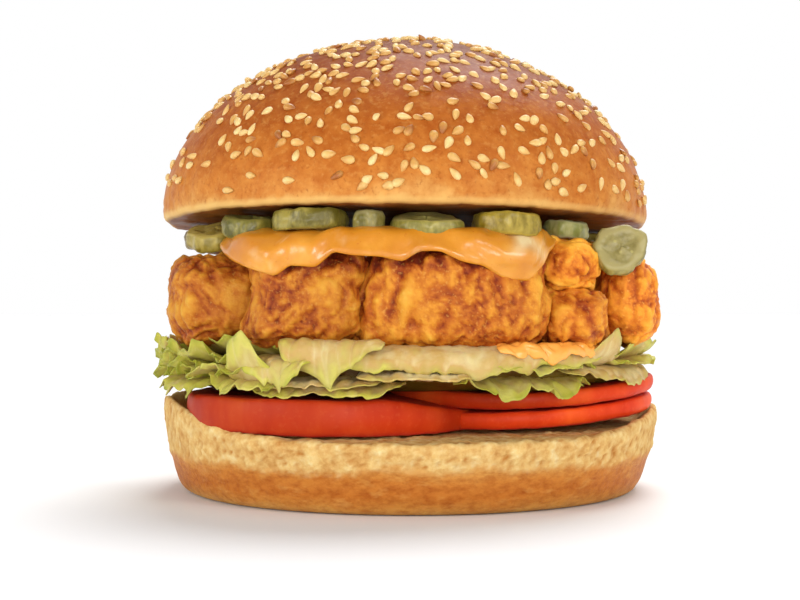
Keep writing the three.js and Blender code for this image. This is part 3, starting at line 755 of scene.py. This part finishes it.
def make_sauce():
    t0 = SAUCE["thick"]
    inner = np.linspace(0, 1, 22)
    outer = np.concatenate([np.linspace(0, 0.6, 12)[:-1], np.linspace(0.6, 1, 46)])
    tip = [(1 + 0.018 * math.sin(a), 0.5 - 0.5 * math.cos(a)) for a in np.linspace(0, math.pi, 14)[1:-1]]
    prof = np.array([(s, 0) for s in inner] + tip + [(s, 1) for s in outer[::-1]])
    s, side, ang, quads, tris = lathe(prof, 440)
    reach = sauce_reach(ang)
    l = s * reach
    B, S = SAUCE["bend"], SAUCE["shoulder"]
    f = np.clip((l - S) / B, 0, math.pi / 2)
    r = np.where(l > S, S + B * np.sin(f), l)
    z = np.where(l > S, -B * (1 - np.cos(f)) - np.maximum(0, l - S - B * math.pi / 2), 0)
    near = reach - l
    t = t0 * (0.62 + 0.38 * smooth(0.0, 3.2, near)) * (1 + 0.18 * np.exp(-((near - 3.2) / 2.0) ** 2))
    r = r + (side * t + 1.0 + 2.2 * hump(ang, -121, 10)) * np.sin(f)
    z = z + side * t * np.cos(f)
    x, y = r * np.cos(np.radians(ang)), r * np.sin(np.radians(ang))
    z = SAUCE["z"] + z - SAUCE["slope"] * (y + 45) + 0.3 * side * np.cos(f) * wobble(x, y, 0 * x, 4, 26)
    co = np.stack([x, y, z], 1)
    n = normals(co, quads, tris)
    d = side * (0.7 * fbm(co / 8.0, 2, 71) + 0.34 * fbm(co / 3.4, 2, 72))
    co = co + n * d[:, None]
    a = (ang + 90 + 180) % 360 - 180 - 90
    # pale cream streaks and patches: partly paler sauce, partly painted highlight
    streak = np.exp(-(((a + 62 + (co[:, 2] - 55) * 1.2) / 2.2) ** 2)) + np.exp(-(((a + 66 - (co[:, 2] - 55) * 0.9) / 1.8) ** 2)) * smooth(52, 55, co[:, 2])
    pale = np.clip(streak * smooth(51, 54, co[:, 2]) * (0.7 + 0.5 * fbm(co / 3.0, 2, 73)), 0, 1) * side
    pale = np.maximum(pale, 0.35 * smooth(0.2, 0.6, fbm(co / 5.0, 3, 74)) * side)
    build("thick_sauce", co, quads, tris, sauce_look(), {"pale": pale}, ("sauce",))


# ------------------------------------------------------------------ gherkins
def make_pickles():
    look = pickle_look()
    for i, (px, py, pz, r0, t, rx, ry, tint) in enumerate(PICKLES):
        seed = i + 1
        e = t / 2
        line = [(0, -e), (r0 * 0.6, -e), (r0 - 1.4, -e), (r0 - 0.55, -e + 0.08), (r0 - 0.15, -0.3 * t), (r0, 0.08 * t), (r0 - 0.25, 0.36 * t), (r0 - 0.6, e - 0.06), (r0 - 1.4, e), (r0 * 0.6, e), (0, e)]
        r, z, ang, quads, tris = lathe(spaced(rounded(line, 2), 0.42), 76)
        x, y = r * np.cos(np.radians(ang)), r * np.sin(np.radians(ang))
        k = 0.93 + 0.06 * np.cos(np.radians(2 * ang + 70 * seed)) + 0.05 * np.cos(np.radians(3 * ang - 50 * seed)) + 0.022 * np.cos(np.radians(7 * ang + 90 * seed))
        rho = r / r0
        co = np.stack([x * k, y * k, z], 1)
        n = normals(co, quads, tris)
        rind = smooth(0.9, 0.97, rho)
        core = smooth(0.7, 0.56, rho + 0.06 * np.cos(np.radians(3 * ang + 40 * seed)))
        d = 0.42 * fbm(co / 3.0 + 9.1 * seed, 3, 80) + rind * 0.34 * fbm(co / 1.2 + 5.3 * seed, 2, 81) - core * 0.2
        co = co + n * d[:, None]
        co[:, 2] += 0.9 * (rho ** 2 - 0.5) * np.cos(np.radians(2 * ang + 30 * seed))
        co = lean(co, rx, ry) + np.array([px, py, pz])
        build("gherkin_%d" % seed, co, quads, tris, look, {"rind": rind, "core": core, "tint": np.tile(np.array(lin(*tint)[:3]), (len(co), 1))}, ("pickle_%d" % seed,))


# ------------------------------------------------------------------ lettuce
def leaf(th0, th1, a, b, c, ruffle, waves, green, thick, seed, ends=0.5, nu=76, nv=17):
    """A torn leaf: a strip from angle th0 to th1 whose section runs from a past b to c, each a radius and a height; its outer edge is ruffled."""
    u, v = np.meshgrid(np.linspace(0, 1, nu), np.linspace(0, 1, nv) ** 0.8, indexing="ij")
    uu, vv = u.ravel(), v.ravel()
    taper = np.clip(np.sin(np.pi * uu), 0, 1) ** ends
    wide = abs(th1 - th0)
    q = np.stack([uu * wide / 9.0 + seed * 7.7, vv * 1.2, np.full_like(uu, seed * 3.3)], 1)
    row = np.stack([uu * wide / 9.0 + seed * 7.7, 0 * vv, np.full_like(uu, seed * 3.3)], 1)
    reach = 0.5 + 0.5 * taper + 0.09 * noise(row * 1.6, seed) + 0.06 * noise(row * 5.0, seed + 9)
    w = vv * reach
    sec = lambda k: (1 - w) ** 2 * a[k] + 2 * w * (1 - w) * b[k] + w * w * c[k]
    r, z = sec(0), sec(1)
    phase = 2 * math.pi * waves * uu + seed * 1.9 + 1.6 * noise(row * 1.1, seed + 1)
    edge = vv ** 1.6
    wave = np.sin(phase) + 0.55 * np.sin(2.3 * phase + seed) + 0.3 * np.sin(4.7 * phase + 2 * seed) * edge
    curl = np.cos(phase + 0.6) + 0.5 * np.cos(2.3 * phase + seed + 0.9)
    crinkle = fbm(q * np.array([4.2, 4.5, 1.0]), 3, seed + 2)
    crease = np.abs(noise(q * np.array([2.6, 1.1, 1.0]), seed + 8))
    z = z + ruffle * edge * wave + 0.45 * crinkle + 0.8 * crease
    r = r + 0.55 * ruffle * edge * curl + 0.4 * fbm(q * 1.9, 2, seed + 3) + 1.1 * (crease - 0.25) * (0.4 + 0.6 * vv) + 0.3 * crinkle
    th = np.radians(th0 + (th1 - th0) * uu + 1.2 * vv * noise(q * 1.3, seed + 5) + 0.6 * ruffle * edge * np.sin(2 * phase + 1.0))
    mid = np.stack([r * np.cos(th), r * np.sin(th), z], 1)
    idx = np.arange(nu * nv).reshape(nu, nv)
    quads = np.stack([idx[:-1, :-1], idx[1:, :-1], idx[1:, 1:], idx[:-1, 1:]], -1).reshape(-1, 4)
    n = normals(mid, quads)
    rim = np.minimum(np.minimum(uu, 1 - uu) * nu / 3.0, (1 - vv) * nv / 3.0)
    t = thick * (0.3 + 0.7 * smooth(0, 1, rim)) * (1.2 - 0.6 * vv) * 0.5
    top, low = mid + n * t[:, None], mid - n * t[:, None]
    m = nu * nv
    border = np.concatenate([idx[:, 0], idx[-1, 1:], idx[-2::-1, -1], idx[0, -2:0:-1]])
    nxt = np.roll(border, -1)
    faces = np.vstack([quads, quads[:, ::-1] + m, np.stack([nxt, border, border + m, nxt + m], 1)])
    rib = np.exp(-(((uu - 0.5) * wide / 4.0) ** 2)) * 0.3
    g = np.clip(green + 0.5 * (vv - 0.55) * (0.3 + green) + 0.25 * smooth(0.82, 1.0, vv) + 0.24 * crinkle - rib * 0.4 - 0.08 * wave * edge + 0.25 * (crease - 0.25), 0, 1)
    vein = np.clip(np.clip(1 - crease * 9.0, 0, 1) * (1.0 - 0.6 * vv) + rib, 0, 1)
    return np.vstack([top, low]), faces, np.tile(g, 2), np.tile(vein, 2)


# angle from and to, inner, middle and outer points of the section, ruffle, waves, greenness, thickness
LEAVES = [
    # left: curly green leaf, folds turned up and folds hanging
    (-187, -146, (46, 30.0), (56, 30.0), (58.2, 33.2), 1.4, 3.6, 0.58, 0.6),
    (-189, -140, (46, 28.0), (56, 28.6), (58.2, 28.4), 1.4, 4.4, 0.64, 0.6),
    (-181, -132, (45, 27.2), (56, 27.4), (57.8, 24.0), 1.0, 3.6, 0.5, 0.6),
    (-158, -129, (47, 30.5), (57.5, 31.0), (60.2, 34.2), 1.2, 2.6, 0.60, 0.6),
    (-150, -120, (46, 28.5), (57, 30.0), (60.8, 29.4), 1.2, 2.8, 0.50, 0.6),
    (-138, -117, (46, 28.0), (57, 28.5), (60.0, 25.2), 0.9, 1.9, 0.42, 0.6),
    (-176, -150, (47, 31.5), (57, 32.5), (58.6, 35.4), 0.9, 2.6, 0.52, 0.5),
    (-166, -138, (47, 29.5), (57, 30.0), (59.8, 31.4), 1.4, 3.2, 0.55, 0.5),
    (-162, -112, (44, 32.0), (53, 33.4), (56.2, 36.6), 0.9, 3.0, 0.52, 0.6),
    # middle: pale, thicker leaves
    (-131, -117, (52, 26.5), (60.6, 27.0), (61.4, 37.2), 0.5, 1.1, 0.50, 0.6, 1.1),
    (-125, -109, (50, 32.0), (61.0, 33.6), (59.4, 26.4), 0.8, 1.5, 0.42, 0.7, 0.6),
    (-118, -95, (48, 33.0), (60.5, 40.0), (57.6, 28.2), 0.7, 1.4, 0.28, 0.9, 0.45),
    (-109, -42, (47, 33.6), (58.2, 36.0), (56.4, 28.8), 0.5, 2.6, 0.15, 1.0, 0.3),
    (-101, -74, (46, 28.2), (54, 29.8), (58.4, 27.8), 0.3, 1.1, 0.0, 1.6, 0.25),
    (-133, -90, (44, 26.6), (52, 27.4), (56.0, 24.2), 0.6, 2.2, 0.30, 0.7, 0.35),
    (-128, -96, (44, 27.4), (53, 28.6), (57.4, 26.2), 0.5, 1.7, 0.10, 0.9, 0.35),
    # right: yellow-green strips and a wavy lower edge
    (-81, -40, (46, 31.0), (54, 31.6), (57.6, 29.4), 0.7, 2.0, 0.50, 0.7),
    (-79, -41, (44, 28.0), (52, 28.2), (57.0, 24.6), 1.1, 2.6, 0.44, 0.6),
    (-47, -35, (50, 30.0), (58.8, 30.5), (59.4, 38.2), 0.2, 0.6, 0.16, 0.8, 1.2),
    (-41, -3, (46, 30.5), (57, 31.0), (59.0, 35.4), 0.7, 1.6, 0.48, 0.6),
    (-52, -5, (46, 30.0), (56, 30.8), (58.6, 26.2), 0.6, 1.8, 0.12, 0.7),
    (-36, -1, (46, 30.0), (55, 31.0), (58.8, 30.8), 0.8, 2.0, 0.36, 0.6),
]


def make_lettuce():
    parts, seed = [], 200
    for L in LEAVES:
        parts.append(leaf(*L[:9], seed, *L[9:]))
        seed += 11
    # the rest of the way round: the same leaves in other order
    at = -2.0
    while at < 172:
        wide = RNG.uniform(24, 44)
        kind = RNG.random()
        inner = (45.0, RNG.uniform(27, 31))
        if kind < 0.35:
            b, c = (55, RNG.uniform(29, 31)), (RNG.uniform(56.5, 58.4), RNG.uniform(33.5, 35.6))
        elif kind < 0.75:
            b, c = (54, RNG.uniform(26, 29)), (RNG.uniform(56, 58), RNG.uniform(22.5, 26.5))
        else:
            b, c = (57.5, RNG.uniform(34, 36)), (56.2, RNG.uniform(28, 30))
        parts.append(leaf(at, at + wide, inner, b, c, RNG.uniform(0.5, 1.4), RNG.uniform(1.2, 3.0), RNG.uniform(0.12, 0.62), RNG.uniform(0.6, 0.9), seed, nu=50, nv=13))
        seed += 11
        at += wide * RNG.uniform(0.18, 0.32)
    co, fs, g, v, base = [], [], [], [], 0
    for p, f, gg, vv in parts:
        co.append(p)
        fs.append(f + base)
        g.append(gg)
        v.append(vv)
        base += len(p)
    o = build("lettuce_leaves", np.vstack(co), np.vstack(fs), None, lettuce_look("lettuce", False), {"green": np.concatenate(g), "vein": np.concatenate(v)}, ("lettuce",))
    # the leaves inside, as one uneven core, darkened all over as painted shade
    line = [(0, 23.9), (30, 24.2), (50, 25.0), (51.5, 28.5), (50.5, 32.4), (30, 33.0), (0, 33.0)]
    r, z, ang, quads, tris = lathe(spaced(rounded(line, 3), 1.0, 4.0, lambda r, z: r > 44), 220)
    co = np.stack([r * np.cos(np.radians(ang)), r * np.sin(np.radians(ang)), z], 1)
    n = normals(co, quads, tris)
    layer = np.sin(co[:, 2] * 2.1 + 3 * fbm(co / 9.0, 2, 91))
    co = co + n * (1.1 * fbm(co / 5.0, 3, 92) + 0.8 * layer)[:, None] * smooth(42, 50, r)[:, None]
    co[:, 2] = np.clip(co[:, 2], 23.4, 33.4)
    front = hump(ang, -86, 26) * smooth(28, 46, r)
    co[:, :2] *= (1 - 0.08 * front)[:, None]
    co[:, 2] = np.maximum(co[:, 2], 23.4 + 4.2 * front)
    build("lettuce_core", co, quads, tris, lettuce_look("lettuce_inside", True), {"green": 0.45 + 0.3 * layer, "vein": 0 * r}, ())


def make_smear():
    """Thin sauce that has run down on to the lettuce on the right."""
    p, f, g, v = leaf(-70, -43, (52, 34.0), (57.6, 36.0), (57.3, 31.6), 0.5, 2.2, 0.0, 1.2, 611, 0.4)
    build("sauce_run", p, f, None, bpy.data.materials["sauce"], {"pale": 0 * g}, ())


crown_mesh = make_crown()
make_seeds(*crown_mesh)
make_heel()
make_tomatoes()
make_chicken()
make_sauce()
make_pickles()
make_lettuce()
make_smear()

# ------------------------------------------------------------------ floor, light and camera
bpy.ops.mesh.primitive_plane_add(size=8.0, location=(0, 0, 0))
floor = bpy.context.object
floor.name = "floor"
floor.data.materials.append(floor_look())

scene = bpy.context.scene
world = bpy.data.worlds.new("studio")
scene.world = world
world.use_nodes = True
sky = world.node_tree
way = sky.nodes.new("ShaderNodeTexCoord")
part = sky.nodes.new("ShaderNodeSeparateXYZ")
fade = sky.nodes.new("ShaderNodeValToRGB")
fade.color_ramp.elements[0].position, fade.color_ramp.elements[0].color = 0.25, (1.0, 1.0, 1.0, 1.0)
fade.color_ramp.elements[1].position, fade.color_ramp.elements[1].color = 0.7, (0.32, 0.32, 0.32, 1.0)
sky.links.new(way.outputs["Generated"], part.inputs["Vector"])
sky.links.new(part.outputs["Z"], fade.inputs["Fac"])
sky.links.new(fade.outputs["Color"], sky.nodes["Background"].inputs["Color"])
sky.nodes["Background"].inputs["Strength"].default_value = 1.0


def lamp(name, at, size, watts, colour=(1, 1, 1), aim=(0, 0, 0.05)):
    d = bpy.data.lights.new(name, "AREA")
    d.shape = "DISK"
    d.size = size
    d.energy = watts
    d.color = colour
    o = bpy.data.objects.new(name, d)
    scene.collection.objects.link(o)
    o.location = at
    v = np.array(aim) - np.array(at)
    o.rotation_mode = "QUATERNION"
    o.rotation_quaternion = Vector(v).to_track_quat("-Z", "Y")


from mathutils import Vector
sun = bpy.data.lights.new("sun", "SUN")
sun.energy, sun.angle = 2.7, math.radians(38)
sun_at = bpy.data.objects.new("sun", sun)
scene.collection.objects.link(sun_at)
sun_at.rotation_mode = "QUATERNION"
sun_at.rotation_quaternion = Vector((-0.20, -0.50, -0.85)).to_track_quat("-Z", "Y")
lamp("key", (0.50, -0.60, 0.40), 0.3, 1.7, (1.0, 0.97, 0.93))
lamp("front", (0.06, -0.80, 0.06), 0.3, 2.7)
lamp("left", (-0.60, -0.45, 0.20), 0.35, 1.9)

scene.view_settings.view_transform = "Standard"
cam = bpy.data.cameras.new("camera")
cam.lens, cam.sensor_width = 68.8, 36.0
cam.dof.use_dof = False
eye = bpy.data.objects.new("camera", cam)
scene.collection.objects.link(eye)
eye.location = ((-1.2 + SHIFT[0]) * 0.001, (-365 + SHIFT[1]) * 0.001, 0.0443)
eye.rotation_euler = (math.radians(90), 0, 0)
scene.camera = eye

tri = {o.name: sum(len(p.vertices) - 2 for p in o.data.polygons) for o in scene.objects if o.type == "MESH" and o.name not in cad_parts}
print("triangles", sum(tri.values()), tri)
